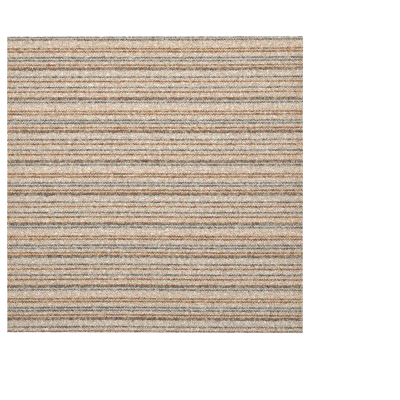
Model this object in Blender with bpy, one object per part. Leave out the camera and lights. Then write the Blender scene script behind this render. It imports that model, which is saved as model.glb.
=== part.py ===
"""A square loop-pile carpet tile, 500 mm a side: a tufted face bonded to a heavy black backing.

Metres, +Z up. The origin is on the floor, under the middle of the tile.
+X runs along the tufted rows, and so along the stripes. +Y runs across them.
"""

import bmesh
import bpy

# The tile as sold
TILE_LENGTH = 0.500  # along the tufted rows
TILE_WIDTH = 0.500  # across the tufted rows
BACKING_THICKNESS = 0.0025  # bitumen layer with its fleece
PILE_THICKNESS = 0.0027  # loops and the cloth that they are stitched through
BOND_GAP = 0.0003  # the thin glue line between the backing and the pile's cloth

# Edges, as the cutting press and the yarn leave them
BACKING_EDGE_BEVEL = 0.0003  # the lower edge, slightly dulled by the blade
BACKING_EDGE_STEPS = 1
PILE_EDGE_RADIUS = 0.0012  # the outer loops lean out, which rounds the upper edge
PILE_EDGE_STEPS = 4

# Heights that follow from the sizes above
BACKING_TOP = BACKING_THICKNESS
PILE_BOTTOM = BACKING_TOP + BOND_GAP

# Looks: colour, roughness and metallic value
BACKING_LOOK = ((0.013, 0.013, 0.013, 1.0), 0.75, 0.0)
PILE_LOOK = ((0.50, 0.40, 0.31, 1.0), 0.95, 0.0)


def clear_scene():
    """Removes every object that the scene holds."""
    for found in list(bpy.data.objects):
        bpy.data.objects.remove(found)


def make_material(name, look):
    """A Principled BSDF material with this colour, roughness and metallic value."""
    colour, roughness, metallic = look
    material = bpy.data.materials.new(name)
    material.use_nodes = True
    shader = material.node_tree.nodes["Principled BSDF"]
    shader.inputs["Base Color"].default_value = colour
    shader.inputs["Roughness"].default_value = roughness
    shader.inputs["Metallic"].default_value = metallic
    material.diffuse_color = colour
    return material


def rim_edges(bm, upper):
    """The four edges round the upper or the lower face of a slab."""
    heights = [vertex.co.z for vertex in bm.verts]
    level = max(heights) if upper else min(heights)
    face = min(bm.faces, key=lambda each: abs(each.calc_center_median().z - level))
    return list(face.edges)


def make_slab(name, bottom, thickness, eased_upper, easing, steps, material):
    """One flat layer of the tile, with its upper or its lower rim eased."""
    bm = bmesh.new()
    bmesh.ops.create_cube(bm, size=1.0)
    bmesh.ops.scale(bm, verts=bm.verts, vec=(TILE_LENGTH, TILE_WIDTH, thickness))
    bmesh.ops.bevel(
        bm,
        geom=rim_edges(bm, eased_upper),
        offset=easing,
        segments=steps,
        profile=0.5,
        affect="EDGES",
    )
    mesh = bpy.data.meshes.new(name)
    bm.to_mesh(mesh)
    bm.free()
    mesh.materials.append(material)
    slab = bpy.data.objects.new(name, mesh)
    slab.location.z = bottom + thickness / 2
    bpy.context.scene.collection.objects.link(slab)
    return slab


def make_backing(tile):
    """The black sheet that lies on the floor, its lower rim dulled by the press."""
    backing = make_slab(
        "backing",
        bottom=0.0,
        thickness=BACKING_THICKNESS,
        eased_upper=False,
        easing=BACKING_EDGE_BEVEL,
        steps=BACKING_EDGE_STEPS,
        material=make_material("backing", BACKING_LOOK),
    )
    backing.parent = tile


def make_loop_pile(tile):
    """The tufted face as one closed slab, to the tops of its loops."""
    pile = make_slab(
        "loop_pile",
        bottom=PILE_BOTTOM,
        thickness=PILE_THICKNESS,
        eased_upper=True,
        easing=PILE_EDGE_RADIUS,
        steps=PILE_EDGE_STEPS,
        material=make_material("pile_yarn", PILE_LOOK),
    )
    pile.parent = tile
    pile.data.shade_smooth()
    pile.data.set_sharp_from_angle(angle=0.7)


def main():
    """Builds the tile at rest, with both layers under one empty."""
    clear_scene()
    tile = bpy.data.objects.new("carpet_tile", None)
    bpy.context.scene.collection.objects.link(tile)
    make_backing(tile)
    make_loop_pile(tile)


main()
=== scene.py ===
# %% [markdown]
# # A striped loop-pile carpet tile
# The tile is a black, heavy backing sheet with yarn loops stitched into a thin cloth on top of it.
# The loops stand in straight rows, and each row is one yarn: cream, rust or slate.
# This script dresses the plain packed model with real loops and real finishes.

# %% Load the packed model
import math

import bmesh
import bpy
import numpy as np
from mathutils import Euler, Matrix, Vector


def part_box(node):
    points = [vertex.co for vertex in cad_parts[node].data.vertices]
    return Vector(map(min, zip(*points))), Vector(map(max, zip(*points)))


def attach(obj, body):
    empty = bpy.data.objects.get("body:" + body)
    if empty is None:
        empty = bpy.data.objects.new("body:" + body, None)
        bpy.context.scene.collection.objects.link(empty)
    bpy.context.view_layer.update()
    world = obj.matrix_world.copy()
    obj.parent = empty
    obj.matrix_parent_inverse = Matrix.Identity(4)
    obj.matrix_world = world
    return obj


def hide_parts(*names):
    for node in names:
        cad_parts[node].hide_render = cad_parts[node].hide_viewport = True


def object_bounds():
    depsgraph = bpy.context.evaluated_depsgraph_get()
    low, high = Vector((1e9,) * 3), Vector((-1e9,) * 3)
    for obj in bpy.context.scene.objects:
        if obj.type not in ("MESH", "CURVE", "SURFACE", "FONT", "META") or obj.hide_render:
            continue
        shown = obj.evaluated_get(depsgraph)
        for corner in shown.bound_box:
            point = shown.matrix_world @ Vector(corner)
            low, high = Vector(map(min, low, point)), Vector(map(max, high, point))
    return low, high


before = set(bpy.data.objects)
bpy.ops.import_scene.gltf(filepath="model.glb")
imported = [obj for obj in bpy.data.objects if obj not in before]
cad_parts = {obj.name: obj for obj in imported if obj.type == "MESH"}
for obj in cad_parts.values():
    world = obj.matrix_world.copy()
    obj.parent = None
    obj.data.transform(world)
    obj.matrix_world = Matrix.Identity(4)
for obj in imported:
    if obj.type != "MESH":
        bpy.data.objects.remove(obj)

cad_low, cad_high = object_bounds()
tile_width = cad_high.x - cad_low.x
tile_depth = cad_high.y - cad_low.y
print("packed nodes:", sorted(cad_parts))
print("tile in mm:", [round(1000 * side, 2) for side in cad_high - cad_low])

# %% [markdown]
# ## The camera
# The tile was photographed from straight above with a long lens, a little off the tile's middle.
# A camera can be aimed with a constraint, but a place and three small turns are easier to match
# to four measured corners, so they are given here.

# %% Camera over the tile
LENS_MM = 85.0
CAMERA_PLACE = Vector((0.0982, -0.0165, 1.5976))
CAMERA_TURN_DEG = (-0.345, 0.778, 0.05)

camera = bpy.data.objects.new("camera", bpy.data.cameras.new("camera"))
camera.data.lens = LENS_MM
camera.location = CAMERA_PLACE
camera.rotation_euler = Euler([math.radians(turn) for turn in CAMERA_TURN_DEG])
bpy.context.collection.objects.link(camera)
bpy.context.scene.camera = camera
print("camera height in m:", CAMERA_PLACE.z)

# %% [markdown]
# ## How the rows are stitched
# A tufting machine has one needle every tenth of an inch and makes about twelve stitches an inch.
# The tile is cut out of a wide cloth, so neither its rows nor its stitches come out at a whole number:
# 199 rows lie on it, and its depth is a little less than 199 row pitches.
# Pitch and stitch are worked out from the tile's sides, so the rows follow the model's size.

# %% Row pitch and stitch length
ROWS = 199
ROWS_ACROSS = 198.69
STITCHES = 236.07

row_pitch = tile_depth / ROWS_ACROSS
stitch = tile_width / STITCHES
cloth_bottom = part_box("backing")[1].z
pile_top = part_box("loop_pile")[1].z
print("row pitch and stitch in mm:", round(1000 * row_pitch, 3), round(1000 * stitch, 3))

# %% [markdown]
# ## Which yarn each row holds
# The yarns are threaded in a repeat of 42 needles, and that repeat gives the stripes.
# Stripes could be painted on from a picture, but here each row of loops is one yarn, as on the machine.
# So the pattern is only two short lists: which needles hold rust and which hold slate.
# All others hold cream. The die cuts through one more row at each end.

# %% The stripe repeat
REPEAT = 42
RUST_NEEDLES = (0, 2, 11, 13, 22, 29, 33)
SLATE_NEEDLES = (6, 8, 14, 19, 26, 34, 36)
ROWS_BEFORE_REPEAT = 8


def yarn_of(row):
    """The yarn of a row, counted from the far edge."""
    needle = (row - ROWS_BEFORE_REPEAT) % REPEAT
    if needle in RUST_NEEDLES:
        return "rust"
    if needle in SLATE_NEEDLES:
        return "slate"
    return "cream"


rows_of = {"cream": [], "rust": [], "slate": []}
for row in range(-1, ROWS + 1):
    rows_of[yarn_of(row)].append(row)
print("rows:", {yarn: len(rows) for yarn, rows in rows_of.items()})

# %% [markdown]
# ## A map of one loop
# Shading the plies of a loop needs to know where on the loop a spot lies.
# Seen from above, the loop is round, so its points are laid out on a disc round the top.
# The disc is evened out, so that low faces keep their share of it,
# and the two bottom faces, which nobody sees, go in a corner.

# %% Mapping the loop from above
BOTTOM_LEVEL = -0.75
MAP_CORNER = Vector((0.88, 0.88))
CORNER_SCALE = 0.1


def map_from_above(shape):
    """Lay a ball of radius 1 out on a disc, as seen from above."""
    loop_map = shape.loops.layers.uv.new("loop_map")
    for face in shape.faces:
        at_bottom = face.calc_center_median().z < BOTTOM_LEVEL
        for corner in face.loops:
            place = corner.vert.co.normalized()
            across = Vector((place.x, place.y))
            if at_bottom:
                flat = MAP_CORNER + CORNER_SCALE * across
            else:
                flat = across.normalized() * math.sqrt((1 - place.z) / 2)
            corner[loop_map].uv = Vector((0.5, 0.5)) + 0.5 * flat


print("the bottom faces lie round", tuple(round(0.5 + 0.5 * side, 2) for side in MAP_CORNER))

# %% [markdown]
# ## One loop of yarn
# A loop comes up through the cloth, swells as the yarn springs open, and goes down the same hole.
# It repeats some forty-seven thousand times, so it can have only about twenty faces.
# A bent tube would need many more. An icosphere has exactly twenty.
# Turned so that an edge lies on top, it gets a ridge along the row, and drawing in its lower points
# gives the narrow foot.

# %% The loop's shape
LOOP_LENGTH = 0.00245
LOOP_WIDTH = 0.00240
LOOP_FOOT = 0.62
FOOT_LEVEL = -0.1
LOOP_SINK = 0.0001
RIDGE_TURN = math.acos(1 / math.sqrt(5)) / 2

loop_height = pile_top - cloth_bottom + LOOP_SINK


def loop_shape():
    """A mesh object with one loop, its foot at the origin."""
    shape = bmesh.new()
    bmesh.ops.create_icosphere(shape, subdivisions=1, radius=1.0)
    turn = Matrix.Rotation(-RIDGE_TURN, 3, "Y")
    bmesh.ops.rotate(shape, verts=shape.verts, cent=(0, 0, 0), matrix=turn)
    map_from_above(shape)
    reach = max(vert.co.x for vert in shape.verts)
    top = max(vert.co.z for vert in shape.verts)
    for vert in shape.verts:
        draw_in = LOOP_FOOT if vert.co.z < FOOT_LEVEL else 1.0
        vert.co.x *= draw_in * LOOP_LENGTH / 2 / reach
        vert.co.y *= draw_in * LOOP_WIDTH / 2 / reach
        vert.co.z = (vert.co.z / top + 1) / 2 * loop_height
    mesh = bpy.data.meshes.new("one_loop")
    shape.to_mesh(mesh)
    shape.free()
    mesh.shade_smooth()
    return bpy.data.objects.new("one_loop", mesh)


one_loop = loop_shape()
loop_faces = len(one_loop.data.polygons)
print("one loop has", loop_faces, "faces")

# %% [markdown]
# ## How the rows bow
# Cloth is pulled a little as it is coated and cut, so the rows are straight only to about a millimetre.
# A lattice could bend the finished pile, but it would bend the cut edges too.
# So only the places of the stitches move, by a formula: three soft bells for a swell right of the middle,
# a dip that deepens towards the near edge and a droop at the far right corner,
# and a lean, because the rows lie slightly askew on the tile. A bell has a height in metres,
# and its centre and width are shares of the tile's width.

# %% The bow of the rows
FIRST_ROW_INSET = 0.000885
SWELL = (0.000275, 0.62, 0.14)
DIP = (-0.00133, 0.40, 0.26)
DIP_GROWTH = 1.75
DROOP = (-0.00102, 1.0, 0.16)
ROW_LEAN = 0.00045


def bell(along, height, centre, width):
    """A soft bump over the tile's width, which runs from 0 to 1."""
    return height * np.exp(-(((along - centre) / width) ** 2))


def bow(x, from_far):
    """How far towards the near edge the rows lie at this place."""
    along = (x - cad_low.x) / tile_width
    down = np.clip(from_far / tile_depth, 0, 1)
    soft = bell(along, *SWELL) + bell(along, *DIP) * down**DIP_GROWTH + bell(along, *DROOP) * (1 - down) ** 2
    return soft + ROW_LEAN * (0.5 - along)


near_bow = [bow(x, tile_depth) for x in (cad_low.x, 0.0, cad_high.x)]
print("bow at the near edge in mm:", [round(1000 * float(shift), 2) for shift in near_bow])

# %% [markdown]
# ## How the stitches step
# The needle bar steps to and fro by nearly half a gauge, so each row runs in a fine zigzag.
# All needles stitch at once, so the stitches also form columns across the rows.
# The columns lean by half a degree, because the cloth runs a little askew in the machine,
# and its feed is not quite even, so whole columns shift along the rows. One slow wave stands for that.

# %% Zigzag, columns and feed
ZIGZAG_THROW = 0.00050
FIRST_HOLE = 0.00155
COLUMN_LEAN = 0.0088
FEED_WAVE = 0.00036
FEED_LENGTH = 0.374
FEED_START = 0.119


def feed(along):
    """How far the feed shifts a column that lies this far from the left edge."""
    return FEED_WAVE * np.cos(2 * np.pi * (along - FEED_START) / FEED_LENGTH)


def even_stitches(from_far):
    """Where the stitches of a row lie along it, and the side of the row on which each stands."""
    first = FIRST_HOLE - COLUMN_LEAN * from_far
    number = np.arange(math.floor(-first / stitch), math.ceil((tile_width - first) / stitch) + 1)
    return first + number * stitch, np.where(number % 2 == 0, -1.0, 1.0)


print("stitches in the middle row:", len(even_stitches(tile_depth / 2)[0]))
print("zigzag in mm:", round(2000 * ZIGZAG_THROW, 2))

# %% [markdown]
# ## Yarn is never quite even
# Each loop wanders, leans and differs in size a little, and whole stretches of a row sway and swell
# together. Plain noise per loop gives the first, and noise that keeps a share of the value before it
# gives the second. The rust and slate yarns are looser, and stray more than the cream does.

# %% How loops stray
WANDER_ALONG = 0.00013
WANDER_ACROSS = 0.00021
SWAY_ACROSS = 0.00010
SWAY_KEEP = 0.7
TURN_WANDER_DEG = 8.0
LEAN_WANDER_DEG = 3.0
SIZE_WANDER = 0.04
HEIGHT_WANDER = 0.035
FULLNESS = 0.045
FULLNESS_KEEP = 0.2
SMALLEST = 0.7
LARGEST = 1.3
UNRULY = {"cream": 0.7, "rust": 3.0, "slate": 3.0}


def wander(random, count, keep):
    """A row of random values with unit spread, each keeping a share of the one before."""
    values = random.standard_normal(count)
    for index in range(1, count):
        values[index] = keep * values[index - 1] + math.sqrt(1 - keep * keep) * values[index]
    return values


print("loops wander across the row by, in mm:")
print({yarn: round(1000 * share * WANDER_ACROSS, 2) for yarn, share in UNRULY.items()})

# %% [markdown]
# ## Fibres shed by the neighbours
# Yarn sheds fibres, so a cream loop beside a rust or slate row is a little darker and tinted.
# A slate row that touches a rust one is darker too, because no pale yarn lies between them.
# Real stray fibres would be far too many curves, so each loop only notes how its shade shifts:
# three numbers for its tone, its blush (pinkish) and its warmth (yellowish).

# %% Shade from the rows beside
SHED = {"rust": (-0.02, 0.025, 0.036), "slate": (-0.03, -0.01, -0.03)}
SHED_WANDER = 0.06
SLATE_BY_RUST = 0.09


def shed_fibres(row, random, count):
    """Shifts of tone, blush and warmth that the rows beside this one give each of its loops."""
    shift = np.zeros((count, 3))
    beside = (yarn_of(row - 1), yarn_of(row + 1))
    if yarn_of(row) == "cream":
        for neighbour in beside:
            if neighbour != "cream":
                shift += random.exponential(size=count)[:, None] * SHED[neighbour]
                shift[:, 0] += SHED_WANDER * random.standard_normal(count)
    if yarn_of(row) == "slate" and "rust" in beside:
        shift[:, 0] -= SLATE_BY_RUST
    return shift


touched = [row for row in rows_of["cream"] if {yarn_of(row - 1), yarn_of(row + 1)} != {"cream"}]
print("cream rows beside rust or slate:", len(touched))

# %% [markdown]
# ## The cut edge
# The tile is die-cut. A loop whose middle lies well outside is lost, and one near the edge
# is pushed in, so that its yarn lies against the cut and no bare strip of cloth shows.
# Beside the left, right and far edges the pile is also painted a little darker, as painted shade.
# That is a fading shift of tone by distance, which costs nothing and keeps the light simple.

# %% Loops beside the cut
EDGE_SHARE = 0.20
EDGE_HOLD = 0.00065
# Painted shade beside the left, right and far edges: how much darker, and how fast it fades inwards.
PAINTED_EDGE_SHADE = 0.12
PAINTED_EDGE_SHADE_WIDTH = 0.012


def painted_edge_shade(points):
    """How much darker the loops are painted beside the left, right and far edges, as painted shade."""
    inset = np.minimum(points[:, 0] - cad_low.x, cad_high.x - points[:, 0])
    inset = np.minimum(inset, cad_high.y - points[:, 1])
    return PAINTED_EDGE_SHADE * np.exp(-np.maximum(inset, 0) / PAINTED_EDGE_SHADE_WIDTH)


def keep_on_tile(points, *values):
    """The loops that the die leaves, with those beside the cut pushed in."""
    low = np.array((cad_low.x, cad_low.y))
    high = np.array((cad_high.x, cad_high.y))
    reach = EDGE_SHARE * row_pitch
    left = np.all((points[:, :2] > low - reach) & (points[:, :2] < high + reach), axis=1)
    points[:, :2] = np.clip(points[:, :2], low + EDGE_HOLD, high - EDGE_HOLD)
    return [column[left] for column in (points, *values)]


print("loops are kept up to this far outside, in mm:", round(1000 * EDGE_SHARE * row_pitch, 2))

# %% [markdown]
# ## One row of stitches
# Every stitch gets a point, with the loop's turn, size and shade beside it.
# The tone is a sum of three wanders: loop by loop, over a few loops, and over long stretches,
# because the yarn was dyed and spun unevenly at all three scales.
# Arrays hold a whole row at a time, which is much faster than making loops one by one.

# %% Stitching one row
TONE_MIX = ((1.0, 0.0), (0.15, 0.5), (0.3, 0.95))
TINT_KEEP = 0.7


def loop_sizes(unruly, random, count):
    """Length, width and height of each loop, as factors of the one loop."""
    sizes = 1 + random.standard_normal((count, 3)) * (SIZE_WANDER, SIZE_WANDER, HEIGHT_WANDER)
    sizes += unruly * FULLNESS * wander(random, count, FULLNESS_KEEP)[:, None]
    return np.clip(sizes, SMALLEST, LARGEST)


def stitch_row(row, random):
    """Points, turns, sizes, shed shade, tone, blush and warmth of the loops in one row."""
    from_far = FIRST_ROW_INSET + row * row_pitch
    along, side = even_stitches(from_far)
    count = len(along)
    unruly = UNRULY[yarn_of(row)]
    points = np.zeros((count, 3))
    points[:, 0] = cad_low.x + along + feed(along) + WANDER_ALONG * random.standard_normal(count)
    across = unruly * WANDER_ACROSS * random.standard_normal(count)
    across += SWAY_ACROSS * wander(random, count, SWAY_KEEP)
    points[:, 1] = cad_high.y - from_far - bow(points[:, 0], from_far) + side * ZIGZAG_THROW + across
    points[:, 2] = cloth_bottom - LOOP_SINK
    spread = (LEAN_WANDER_DEG, LEAN_WANDER_DEG, TURN_WANDER_DEG)
    turns = np.radians(random.standard_normal((count, 3)) * spread)
    sizes = loop_sizes(unruly, random, count)
    tone = sum(share * wander(random, count, keep) for share, keep in TONE_MIX)
    blush = wander(random, count, TINT_KEEP)
    warmth = wander(random, count, TINT_KEEP)
    shed = shed_fibres(row, random, count)
    # Painted shade beside the left, right and far edges.
    shed[:, 0] -= painted_edge_shade(points)
    return keep_on_tile(points, turns, sizes, shed, tone, blush, warmth)


print("tone is a sum of", len(TONE_MIX), "wanders")

# %% [markdown]
# ## Points that carry values
# Geometry nodes and materials can both read named attributes, so each point carries its loop's values
# as attributes of the mesh. Each loop also gets a cell of a square grid, for a map in which
# no two loops overlap. The seed is fixed, so every run gives the same tile.

# %% Stitch points with attributes


def grid_cells(count):
    """The low corner of a cell of its own for each loop, and the side of one cell."""
    across = math.ceil(math.sqrt(count))
    cells = np.zeros((count, 3))
    cells[:, 0] = np.arange(count) % across
    cells[:, 1] = np.arange(count) // across
    return cells / across, 1 / across


def stitch_points(name, rows, seed):
    """A mesh object of points, one for each loop of these rows."""
    random = np.random.default_rng(seed)
    stitched = [stitch_row(row, random) for row in rows]
    points, turns, sizes, shed, tone, blush, warmth = (np.concatenate(column) for column in zip(*stitched))
    count = len(points)
    cells, cell_side = grid_cells(count)
    mesh = bpy.data.meshes.new(name)
    mesh.vertices.add(count)
    mesh.vertices.foreach_set("co", points.ravel())
    for label, values in (("turn", turns), ("size", sizes), ("shed", shed), ("cell", cells)):
        attribute = mesh.attributes.new(label, "FLOAT_VECTOR", "POINT")
        attribute.data.foreach_set("vector", values.ravel())
    single_values = {"tone": tone, "blush": blush, "warmth": warmth, "cell_side": np.full(count, cell_side)}
    for label, values in single_values.items():
        attribute = mesh.attributes.new(label, "FLOAT", "POINT")
        attribute.data.foreach_set("value", values)
    piece = bpy.data.objects.new(name, mesh)
    bpy.context.collection.objects.link(piece)
    return piece


print("side of a cell for ten thousand loops:", grid_cells(10000)[1])

# %% [markdown]
# ## A helper for nodes
# Geometry nodes and shader nodes are wired in the same way: add a node, then give each input
# either a value or a link. A small class keeps the trees below short enough to read.

# %% Wiring nodes


class Wiring:
    """A short way to add nodes to a tree and to link them."""

    def __init__(self, tree):
        self.tree = tree

    def node(self, kind, inputs=(), **settings):
        made = self.tree.nodes.new(kind)
        for name, value in settings.items():
            setattr(made, name, value)
        for name, value in dict(inputs).items():
            self.feed(made, name, value)
        return made

    def feed(self, made, name, value):
        if isinstance(value, bpy.types.NodeSocket):
            self.tree.links.new(value, made.inputs[name])
        else:
            made.inputs[name].default_value = value

    def math(self, operation, first, second=0.0):
        return self.node("ShaderNodeMath", {0: first, 1: second}, operation=operation).outputs[0]

    def vector(self, operation, first, second):
        inputs = {0: first, 1: second}
        return self.node("ShaderNodeVectorMath", inputs, operation=operation).outputs["Vector"]

    def multiply_colours(self, first, second):
        inputs = {"Factor": 1.0, 6: first, 7: second}
        made = self.node("ShaderNodeMix", inputs, data_type="RGBA", blend_type="MULTIPLY")
        return made.outputs[2]

    def band(self, value, low, high, to_low, to_high):
        inputs = {"Value": value, "From Min": low, "From Max": high, "To Min": to_low, "To Max": to_high}
        return self.node("ShaderNodeMapRange", inputs).outputs["Result"]

    def noise(self, place, scale, detail):
        return self.node("ShaderNodeTexNoise", {"Vector": place, "Scale": scale, "Detail": detail}).outputs


print("the helper can make:", [name for name in vars(Wiring) if not name.startswith("_")])

# %% [markdown]
# ## Growing the loops with geometry nodes
# Copying the loop in Python would be slow. Instance on Points puts it on every point,
# with the point's own turn and size, and Realize Instances makes one mesh of them.
# Yarn that still reaches past the cut is pressed flat on it.
# The loop map is then shrunk into each loop's own cell, for whoever wants to paint or bake the yarn.

# %% The tufting node tree
CELL_MARGIN = 0.06


def tufting_nodes():
    """Geometry nodes that put one loop on each point and press the result flat at the cut."""
    tree = bpy.data.node_groups.new("tufting", "GeometryNodeTree")
    tree.interface.new_socket("Geometry", in_out="INPUT", socket_type="NodeSocketGeometry")
    tree.interface.new_socket("Geometry", in_out="OUTPUT", socket_type="NodeSocketGeometry")
    wire = Wiring(tree)

    def named(label, kind):
        inputs = {"Name": label}
        return wire.node("GeometryNodeInputNamedAttribute", inputs, data_type=kind).outputs["Attribute"]

    start = wire.node("NodeGroupInput").outputs["Geometry"]
    loop = wire.node("GeometryNodeObjectInfo", {"Object": one_loop}).outputs["Geometry"]
    turn = named("turn", "FLOAT_VECTOR")
    size = named("size", "FLOAT_VECTOR")
    inputs = {"Points": start, "Instance": loop, "Rotation": turn, "Scale": size}
    grown = wire.node("GeometryNodeInstanceOnPoints", inputs).outputs["Instances"]
    real = wire.node("GeometryNodeRealizeInstances", {"Geometry": grown}).outputs["Geometry"]

    place = wire.node("GeometryNodeInputPosition").outputs["Position"]
    below = wire.vector("MINIMUM", place, (cad_high.x, cad_high.y, 1.0))
    inside = wire.vector("MAXIMUM", below, (cad_low.x, cad_low.y, 0.0))
    pressed = wire.node("GeometryNodeSetPosition", {"Geometry": real, "Position": inside})

    used = 1 - 2 * CELL_MARGIN
    shrunk = wire.vector("MULTIPLY", named("loop_map", "FLOAT_VECTOR"), (used, used, 0))
    shifted = wire.vector("ADD", shrunk, (CELL_MARGIN, CELL_MARGIN, 0))
    scaled = wire.vector("MULTIPLY", shifted, named("cell_side", "FLOAT"))
    spot = wire.vector("ADD", scaled, named("cell", "FLOAT_VECTOR"))
    mapped = wire.node("GeometryNodeStoreNamedAttribute", data_type="FLOAT2", domain="CORNER")
    store = {"Geometry": pressed.outputs["Geometry"], "Name": "OFBake", "Value": spot}
    for label, value in store.items():
        wire.feed(mapped, label, value)
    wire.node("NodeGroupOutput", {"Geometry": mapped.outputs["Geometry"]})
    return tree


tufting = tufting_nodes()
print("the tufting tree has", len(tufting.nodes), "nodes")

# %% [markdown]
# ## The rust and slate rows
# A modifier can stay on the object, but a plain mesh is easier to hand on.
# So the evaluated result is copied into a new mesh, which then takes the place of the points.

# %% Grow the rust and slate rows
RUST_SEED = 11
SLATE_SEED = 23


def grow_loops(name, rows, seed):
    """One piece of pile: the points of these rows with a loop on each, as a plain mesh."""
    piece = stitch_points(name, rows, seed)
    piece.modifiers.new("tufting", "NODES").node_group = tufting
    graph = bpy.context.evaluated_depsgraph_get()
    result = piece.evaluated_get(graph)
    grown = bpy.data.meshes.new_from_object(result, preserve_all_data_layers=True, depsgraph=graph)
    piece.modifiers.clear()
    piece.data = grown
    grown.name = name
    print(name, len(rows), "rows", len(grown.polygons), "faces")
    return piece


pile = {
    "rust": [grow_loops("rust_rows", rows_of["rust"], RUST_SEED)],
    "slate": [grow_loops("slate_rows", rows_of["slate"], SLATE_SEED)],
}

# %% [markdown]
# ## The cream rows
# Rust and slate are one piece each. There are four times as many cream rows as rust ones,
# so cream is grown in four blocks of rows, which keeps each piece light enough to handle.

# %% Grow the cream blocks
CREAM_BLOCKS = 4
CREAM_SEED = 41

pile["cream"] = []
for block, rows in enumerate(np.array_split(rows_of["cream"], CREAM_BLOCKS)):
    pile["cream"].append(grow_loops(f"cream_rows_{block + 1}", rows, CREAM_SEED + block))
bpy.data.objects.remove(one_loop)
pile_pieces = sum(pile.values(), [])
print("loops in all:", sum(len(piece.data.polygons) for piece in pile_pieces) // loop_faces)

# %% [markdown]
# ## The cloth that the yarn is stitched through
# Between the loops a thin woven cloth shows, or would if the loops let one look that deep.
# It also fills the small gap between the pile and the backing.
# Threads would be hidden, so a grid with a little thickness is enough.

# %% Ground cloth
CLOTH_CELLS = 48
CLOTH_THICKNESS = 0.0004
CLOTH_LIFT = 0.00003

shape = bmesh.new()
bmesh.ops.create_grid(shape, x_segments=CLOTH_CELLS, y_segments=CLOTH_CELLS, size=tile_width / 2)
bmesh.ops.translate(shape, verts=shape.verts, vec=(0, 0, cloth_bottom + CLOTH_LIFT))
bottom_faces = list(shape.faces)
raised = bmesh.ops.extrude_face_region(shape, geom=bottom_faces, use_keep_orig=True)
raised_verts = [item for item in raised["geom"] if isinstance(item, bmesh.types.BMVert)]
bmesh.ops.translate(shape, verts=raised_verts, vec=(0, 0, CLOTH_THICKNESS))
bmesh.ops.recalc_face_normals(shape, faces=shape.faces)
cloth_mesh = bpy.data.meshes.new("ground_cloth")
shape.to_mesh(cloth_mesh)
shape.free()
ground_cloth = bpy.data.objects.new("ground_cloth", cloth_mesh)
bpy.context.collection.objects.link(ground_cloth)
print("ground cloth", len(cloth_mesh.polygons), "faces")

# %% [markdown]
# ## Fibre grain
# Yarn, cloth and backing all have a fine fibre grain. It could be set up in each material,
# but one node group with its own scale and amount keeps them alike.
# A group puts out only values that change over the surface; the shader stays in each material.

# %% The grain group
GRAIN_DETAIL = 3.0


def node_group(name, inputs, outputs):
    """An empty shader node group with these sockets, its wiring, and its way in and way out."""
    tree = bpy.data.node_groups.new(name, "ShaderNodeTree")
    for label, kind, value in inputs:
        socket = tree.interface.new_socket(label, in_out="INPUT", socket_type=kind)
        socket.default_value = value
    for label, kind in outputs:
        tree.interface.new_socket(label, in_out="OUTPUT", socket_type=kind)
    print("node group", name, "puts out", [label for label, kind in outputs])
    wiring = Wiring(tree)
    return tree, wiring, wiring.node("NodeGroupInput").outputs, wiring.node("NodeGroupOutput")


def fibre_grain_group():
    """Fine fibres: a small lift or drop of the colour round 0, and a height."""
    tree, wire, given, out = node_group(
        "fibre_grain",
        [("Scale", "NodeSocketFloat", 1000.0), ("Amount", "NodeSocketFloat", 0.1)],
        [("Tone", "NodeSocketFloat"), ("Height", "NodeSocketFloat")],
    )
    place = wire.node("ShaderNodeTexCoord").outputs["Object"]
    noise = wire.noise(place, given["Scale"], GRAIN_DETAIL)["Fac"]
    centred = wire.math("SUBTRACT", noise, 0.5)
    wire.feed(out, "Tone", wire.math("MULTIPLY", centred, given["Amount"]))
    wire.feed(out, "Height", noise)
    return tree


fibre_grain = fibre_grain_group()

# %% [markdown]
# ## Twisted plies
# The yarn is two plies of slightly different shade, twisted, with a groove between them.
# Modelled plies would be too many faces, so a sine wave over the loop's own map draws them.
# The loop's tone shifts the wave, so loops side by side show their plies in different places.

# %% The twist group
TWIST_ALONG = 9.4
TWIST_ACROSS = 7.0
TWIST_SHIFT = 5.0
PLY_EDGE = 0.2


def twist_group():
    """The plies of one loop: a height that drops in the grooves, and which ply it is."""
    outputs = [("Height", "NodeSocketFloat"), ("Ply", "NodeSocketFloat")]
    tree, wire, _, out = node_group("twist", [], outputs)
    tone = wire.node("ShaderNodeAttribute", attribute_name="tone").outputs["Fac"]
    on_loop = wire.node("ShaderNodeUVMap", uv_map="loop_map").outputs["UV"]
    spot = wire.node("ShaderNodeSeparateXYZ", {"Vector": on_loop}).outputs
    along = wire.math("MULTIPLY", spot[0], TWIST_ALONG)
    turn = wire.math("ADD", along, wire.math("MULTIPLY", spot[1], TWIST_ACROSS))
    wave = wire.math("SINE", wire.math("ADD", turn, wire.math("MULTIPLY", tone, TWIST_SHIFT)))
    wire.feed(out, "Height", wire.math("ABSOLUTE", wave))
    wire.feed(out, "Ply", wire.band(wave, -PLY_EDGE, PLY_EDGE, -1.0, 1.0))
    return tree


twist = twist_group()

# %% [markdown]
# ## What shifts a loop's shade
# The yarn is spun from fibres of several shades, so neighbouring loops differ in tone and tint.
# A loop's shift has three parts: its own value, times its yarn's spread; a soft noise
# that loops close together share; and the fibres that the rows beside it shed.

# %% Tone, blush and warmth of a loop
PATCH_SCALE = 170.0
PATCH_DETAIL = 1.0
PATCH_TINT = 0.35


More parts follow.
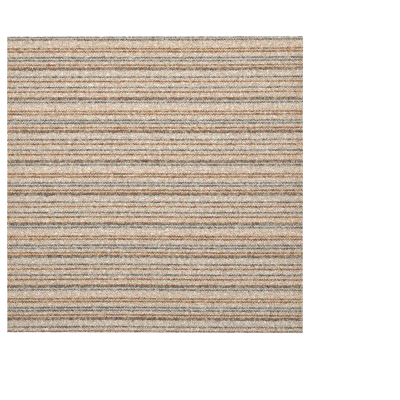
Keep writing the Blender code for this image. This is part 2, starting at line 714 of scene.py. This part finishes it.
def loop_shifts(wire, given, place):
    """Shifts of tone, blush and warmth, summed from their three parts."""
    noise = wire.noise(place, PATCH_SCALE, PATCH_DETAIL)["Color"]
    patch = wire.node("ShaderNodeSeparateColor", {"Color": noise}).outputs
    shed = wire.node("ShaderNodeAttribute", attribute_name="shed").outputs["Vector"]
    shed = wire.node("ShaderNodeSeparateXYZ", {"Vector": shed}).outputs
    amounts = {"Tone": given["Tone Patches"], "Blush": PATCH_TINT, "Warmth": PATCH_TINT}
    shifts = []
    for channel, (label, amount) in enumerate(amounts.items()):
        own = wire.node("ShaderNodeAttribute", attribute_name=label.lower()).outputs["Fac"]
        own = wire.math("MULTIPLY", own, given[f"{label} Spread"])
        shared = wire.math("MULTIPLY", wire.math("SUBTRACT", patch[channel], 0.5), amount)
        shifts.append(wire.math("ADD", wire.math("ADD", own, shared), shed[channel]))
    return shifts


print("patches of shared tone are about", round(1000 / PATCH_SCALE, 1), "mm wide")

# %% [markdown]
# ## How light a spot is
# Tone works as a power of e, so a step of tone changes a pale and a dark yarn by the same ratio.
# The ply and the fibre grain add to it. On top comes painted shade: the grooves between the plies are
# painted darker and the ply tops get a small painted highlight, and the yarn deep in the pile is painted
# darker, where real loops shade one another more than these plain forms do.

# %% Level of a spot
DARKEST = 0.3
LIGHTEST = 2.2
# Painted shade: the ply grooves are painted darker and the ply tops lighter, and the yarn is painted darker
# deep in the pile.
PAINTED_PLY_SHADING = 0.11
PAINTED_DEPTH_SHADE = 0.72
DEEP_ABOVE_CLOTH = 0.0006
DEEP_BELOW_TOP = 0.0004


def spot_level(wire, given, place, tone, plies, grain):
    """A factor for the yarn's main colour, with painted shade in the grooves and deep in the pile."""
    level = wire.math("ADD", tone, wire.math("MULTIPLY", plies["Ply"], given["Ply Spread"]))
    level = wire.math("EXPONENT", wire.math("ADD", level, grain["Tone"]))
    level = wire.math("MINIMUM", wire.math("MAXIMUM", level, DARKEST), LIGHTEST)
    height = wire.node("ShaderNodeSeparateXYZ", {"Vector": place}).outputs["Z"]
    dark_below = cloth_bottom + DEEP_ABOVE_CLOTH
    full_above = pile_top - DEEP_BELOW_TOP
    # Painted shade, darker towards the cloth.
    painted_depth_shade = wire.band(height, dark_below, full_above, PAINTED_DEPTH_SHADE, 1.0)
    # Painted shade in the grooves between the plies, and a painted highlight on the ply tops.
    painted_ply_shading = wire.band(plies["Height"], 0.0, 1.0, 1 - 2 * PAINTED_PLY_SHADING, 1 + PAINTED_PLY_SHADING)
    return wire.math("MULTIPLY", level, wire.math("MULTIPLY", painted_depth_shade, painted_ply_shading))


print("the pile is in full light from this height in mm:", round(1000 * (pile_top - DEEP_BELOW_TOP), 2))

# %% [markdown]
# ## Heathered yarn
# The main colour is multiplied by the level, with a little more or less red, green and blue.
# Blush pulls towards pink and warmth towards yellow. Where the level is high the colour is also paler, and
# where it is low,
# warmer: partly because undyed fibres are mixed in, and partly as painted sheen on the light tops and
# painted warmer shade deep in the pile and in the grooves. One group does this for all three yarns.

# %% The heather group
# Red, green and blue shares of blush, warmth and paleness; the paleness is partly painted sheen and painted
# warmer shade.
DYE_AND_SHEEN_SHIFTS = ((0.5, 0.35, -0.3), (-0.5, 0.2, 0.1), (0.0, -0.9, 0.75))
YARN_GRAIN_SCALE = 5200.0
YARN_GRAIN_AMOUNT = 0.33
GRAIN_HEIGHT = 0.3
HEATHER_INPUTS = [
    ("Main", "NodeSocketColor", (0.6, 0.5, 0.4, 1)),
    ("Tone Spread", "NodeSocketFloat", 0.12),
    ("Tone Patches", "NodeSocketFloat", 0.7),
    ("Ply Spread", "NodeSocketFloat", 0.05),
    ("Blush Spread", "NodeSocketFloat", 0.1),
    ("Warmth Spread", "NodeSocketFloat", 0.1),
    ("Pale Fibres And Sheen", "NodeSocketFloat", 0.0),
]


def dye_and_painted_shade(wire, level, amounts):
    """The level as a colour, with red, green and blue each shifted by blush, warmth and paleness; the
    paleness is partly painted sheen and painted warmer shade.
    """
    parts = []
    for shares in DYE_AND_SHEEN_SHIFTS:
        shift = 1.0
        for amount, share in zip(amounts, shares):
            shift = wire.math("ADD", wire.math("MULTIPLY", amount, share), shift)
        parts.append(wire.math("MULTIPLY", level, shift))
    return wire.node("ShaderNodeCombineColor", dict(enumerate(parts))).outputs[0]


def heather_group():
    """Colour and height of one loop of heathered, plied yarn, with painted shade and painted sheen in the
    colour.
    """
    outputs = [("Color", "NodeSocketColor"), ("Height", "NodeSocketFloat")]
    tree, wire, given, out = node_group("heather", HEATHER_INPUTS, outputs)
    place = wire.node("ShaderNodeTexCoord").outputs["Object"]
    plies = wire.node("ShaderNodeGroup", node_tree=twist).outputs
    size_and_amount = {"Scale": YARN_GRAIN_SCALE, "Amount": YARN_GRAIN_AMOUNT}
    grain = wire.node("ShaderNodeGroup", size_and_amount, node_tree=fibre_grain).outputs
    tone, blush, warmth = loop_shifts(wire, given, place)
    level = spot_level(wire, given, place, tone, plies, grain)
    # Paleness follows the level, so it is partly undyed fibres and partly painted sheen on bright spots and
    # painted warmer shade on dark ones.
    pale_and_sheen = wire.math("MULTIPLY", wire.math("SUBTRACT", level, 1.0), given["Pale Fibres And Sheen"])
    shade = dye_and_painted_shade(wire, level, (blush, warmth, pale_and_sheen))
    wire.feed(out, "Color", wire.multiply_colours(given["Main"], shade))
    fine = wire.math("MULTIPLY", grain["Height"], GRAIN_HEIGHT)
    wire.feed(out, "Height", wire.math("ADD", plies["Height"], fine))
    return tree


heather = heather_group()

# %% [markdown]
# ## The three yarns
# All three are the same kind of yarn, so only the values given to the heather group differ.
# Cream is even from loop to loop, with soft patches. Rust and slate are mottled, with strong plies.
# Yarn is matt, with a soft sheen from the fibres that stand off it.

# %% Materials of the three yarns
PLY_RELIEF = 0.00032
YARN_SURFACE = {"Roughness": 0.92, "Specular IOR Level": 0.2, "Sheen Weight": 0.12, "Sheen Roughness": 0.6}
# Each yarn's paleness is partly undyed fibres and partly painted sheen on light tops and painted warmer
# shade deep down.
YARNS = {
    "cream": {
        "Main": (0.7236, 0.610, 0.494, 1),
        "Tone Spread": 0.02,
        "Tone Patches": 0.70,
        "Ply Spread": 0.04,
        "Blush Spread": 0.015,
        "Warmth Spread": 0.015,
        "Pale Fibres And Sheen": 0.9,
    },
    "rust": {
        "Main": (0.355, 0.161, 0.0575, 1),
        "Tone Spread": 0.62,
        "Tone Patches": 0.20,
        "Ply Spread": 0.25,
        "Blush Spread": 0.02,
        "Warmth Spread": 0.0,
        "Pale Fibres And Sheen": 1.0,
    },
    "slate": {
        "Main": (0.205, 0.196, 0.1675, 1),
        "Tone Spread": 0.67,
        "Tone Patches": 0.20,
        "Ply Spread": 0.25,
        "Blush Spread": 0.03,
        "Warmth Spread": 0.03,
        "Pale Fibres And Sheen": 0.1,
    },
}


def yarn_material(yarn):
    """The material of one yarn: heathered colour, matt, with a soft sheen of stray fibres."""
    material = bpy.data.materials.new(f"{yarn}_yarn")
    material.use_nodes = True
    wire = Wiring(material.node_tree)
    shader = material.node_tree.nodes["Principled BSDF"]
    look = wire.node("ShaderNodeGroup", node_tree=heather)
    for label, value in YARNS[yarn].items():
        look.inputs[label].default_value = value
    relief = {"Height": look.outputs["Height"], "Strength": 1.0, "Distance": PLY_RELIEF}
    bump = wire.node("ShaderNodeBump", relief)
    wire.feed(shader, "Base Color", look.outputs["Color"])
    wire.feed(shader, "Normal", bump.outputs["Normal"])
    for label, value in YARN_SURFACE.items():
        shader.inputs[label].default_value = value
    return material


for yarn, pieces in pile.items():
    finish = yarn_material(yarn)
    for piece in pieces:
        piece.data.materials.clear()
        piece.data.materials.append(finish)
    print(finish.name, "is on", [piece.name for piece in pieces])

# %% [markdown]
# ## Cloth and backing
# The ground cloth is a flat beige weave. The backing is a dense black sheet with a matt, felted skin,
# a little uneven in tone. A picture of felt would repeat and blur, so both use the grain group,
# with a soft, wide noise over it for the unevenness.

# %% Materials of the cloth and the backing
CLOUD_SCALE = 45.0
CLOUD_DETAIL = 4.0
CLOUD_FROM = 0.3
CLOUD_TO = 0.7
CLOUD_SPREAD = 0.12
CLOTH_LOOK = {
    "colour": (0.30, 0.25, 0.20),
    "roughness": 0.95,
    "scale": 900.0,
    "amount": 0.4,
    "relief": 0.0001,
}
SKIN_LOOK = {
    "colour": (0.0175, 0.0175, 0.018),
    "roughness": 0.82,
    "scale": 1600.0,
    "amount": 0.6,
    "relief": 0.00012,
}


def grained_material(name, colour, roughness, scale, amount, relief):
    """A matt material with one colour and a fibre grain."""
    material = bpy.data.materials.new(name)
    material.use_nodes = True
    wire = Wiring(material.node_tree)
    shader = material.node_tree.nodes["Principled BSDF"]
    size_and_amount = {"Scale": scale, "Amount": amount}
    grain = wire.node("ShaderNodeGroup", size_and_amount, node_tree=fibre_grain).outputs
    place = wire.node("ShaderNodeTexCoord").outputs["Object"]
    cloud = wire.noise(place, CLOUD_SCALE, CLOUD_DETAIL)["Fac"]
    cloud = wire.band(cloud, CLOUD_FROM, CLOUD_TO, 1 - CLOUD_SPREAD, 1 + CLOUD_SPREAD)
    level = wire.math("ADD", cloud, grain["Tone"])
    shade = wire.node("ShaderNodeCombineColor", {0: level, 1: level, 2: level}).outputs[0]
    wire.feed(shader, "Base Color", wire.multiply_colours((*colour, 1), shade))
    bump = wire.node("ShaderNodeBump", {"Height": grain["Height"], "Distance": relief})
    wire.feed(shader, "Normal", bump.outputs["Normal"])
    shader.inputs["Roughness"].default_value = roughness
    return material


ground_cloth.data.materials.append(grained_material("cloth", **CLOTH_LOOK))
backing_skin = grained_material("backing_skin", **SKIN_LOOK)
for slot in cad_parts["backing"].material_slots:
    slot.material = backing_skin
print("finished:", ground_cloth.data.materials[0].name, backing_skin.name)

# %% [markdown]
# ## What each piece is
# The loops and the cloth stand for the packed model's plain pile slab, and all ride on its one body.
# The cloth is also a sheet: it lies on the backing and is cut to the tile's own size.

# %% Ride and replace
for piece in [ground_cloth, *pile_pieces]:
    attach(piece, "root")
    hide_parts("loop_pile")
print("pieces that stand for the pile:", 1 + len(pile_pieces))

# %% [markdown]
# ## Floor
# The floor is a pale, plain sheet under the tile. A thick slab would hide the tile's underside,
# so the sheet's back is see-through, and the underside can be looked at from below.
# It also bounces no light of its own onto that underside, and glows a little, so that it stays pale.

# %% Pale floor, seen from above only
FLOOR_HALF = 6.0
FLOOR_DROP = 0.0002
FLOOR_PAINT = (0.8, 0.8, 0.8, 1)
FLOOR_ROUGHNESS = 0.9
FLOOR_GLOW = 0.35
WHITE = (1, 1, 1, 1)

shape = bmesh.new()
bmesh.ops.create_grid(shape, x_segments=1, y_segments=1, size=FLOOR_HALF)
bmesh.ops.translate(shape, verts=shape.verts, vec=(0, 0, cad_low.z - FLOOR_DROP))
floor_mesh = bpy.data.meshes.new("floor")
shape.to_mesh(floor_mesh)
shape.free()
floor = bpy.data.objects.new("floor", floor_mesh)
floor.visible_diffuse = False
floor.visible_shadow = False
bpy.context.collection.objects.link(floor)
print("floor in m:", [round(side, 1) for side in floor.dimensions])

# %% [markdown]
# ## Floor paint
# Two shaders share the floor: matt paint on the face that looks up, and a clear one on its back.
# Backfacing tells the two sides apart, so one flat sheet is enough.

# %% One-way paint
paint = bpy.data.materials.new("pale_floor")
paint.use_nodes = True
wire = Wiring(paint.node_tree)
matt = paint.node_tree.nodes["Principled BSDF"]
matt.inputs["Base Color"].default_value = FLOOR_PAINT
matt.inputs["Roughness"].default_value = FLOOR_ROUGHNESS
matt.inputs["Emission Color"].default_value = WHITE
matt.inputs["Emission Strength"].default_value = FLOOR_GLOW
from_below = wire.node("ShaderNodeNewGeometry").outputs["Backfacing"]
clear = wire.node("ShaderNodeBsdfTransparent").outputs["BSDF"]
one_way = wire.node("ShaderNodeMixShader", {0: from_below, 1: matt.outputs["BSDF"], 2: clear})
wire.feed(paint.node_tree.nodes["Material Output"], "Surface", one_way.outputs["Shader"])
floor_mesh.materials.append(paint)
print("the floor is painted with", paint.name)

# %% [markdown]
# ## Soft light
# One big soft light hangs overhead, a little towards the far edge.
# A sun would light the tile evenly, but this light is near enough to make the tile's corners
# a little dimmer than its middle, as in a small studio.

# %% Overhead softbox
SOFTBOX_PLACE = Vector((-0.01, 0.165, 1.04))
SOFTBOX_SIDE = 0.5
SOFTBOX_WATTS = 14.2

softbox = bpy.data.objects.new("softbox", bpy.data.lights.new("softbox", "AREA"))
softbox.data.size = SOFTBOX_SIDE
softbox.data.energy = SOFTBOX_WATTS
softbox.location = SOFTBOX_PLACE
softbox.visible_camera = False
bpy.context.collection.objects.link(softbox)
print("softbox height in m:", SOFTBOX_PLACE.z)

# %% [markdown]
# ## White surroundings
# A white world fills the shadows. Where the camera looks straight at the world, it is as bright as
# the far floor, so that the two meet without a line in a low view.
# The pixel filter is a little wide, because the photograph is slightly soft.

# %% World and view
WORLD_STRENGTH = 0.39
PIXEL_SPREAD = 1.45
FAR_FLOOR = FLOOR_PAINT[0] * WORLD_STRENGTH + FLOOR_GLOW

world = bpy.data.worlds.new("studio")
world.use_nodes = True
wire = Wiring(world.node_tree)
sky = world.node_tree.nodes["Background"]
sky.inputs["Color"].default_value = WHITE
seen = wire.node("ShaderNodeLightPath").outputs["Is Camera Ray"]
wire.feed(sky, "Strength", wire.band(seen, 0.0, 1.0, WORLD_STRENGTH, FAR_FLOOR))
bpy.context.scene.world = world
bpy.context.scene.view_settings.view_transform = "Standard"
bpy.context.scene.cycles.use_denoising = False
bpy.context.scene.cycles.filter_width = PIXEL_SPREAD
print("brightness of the far floor:", round(FAR_FLOOR, 3))

# %% [markdown]
# ## The dressed tile
# The loops rise about a millimetre above the slab and stay inside its sides.
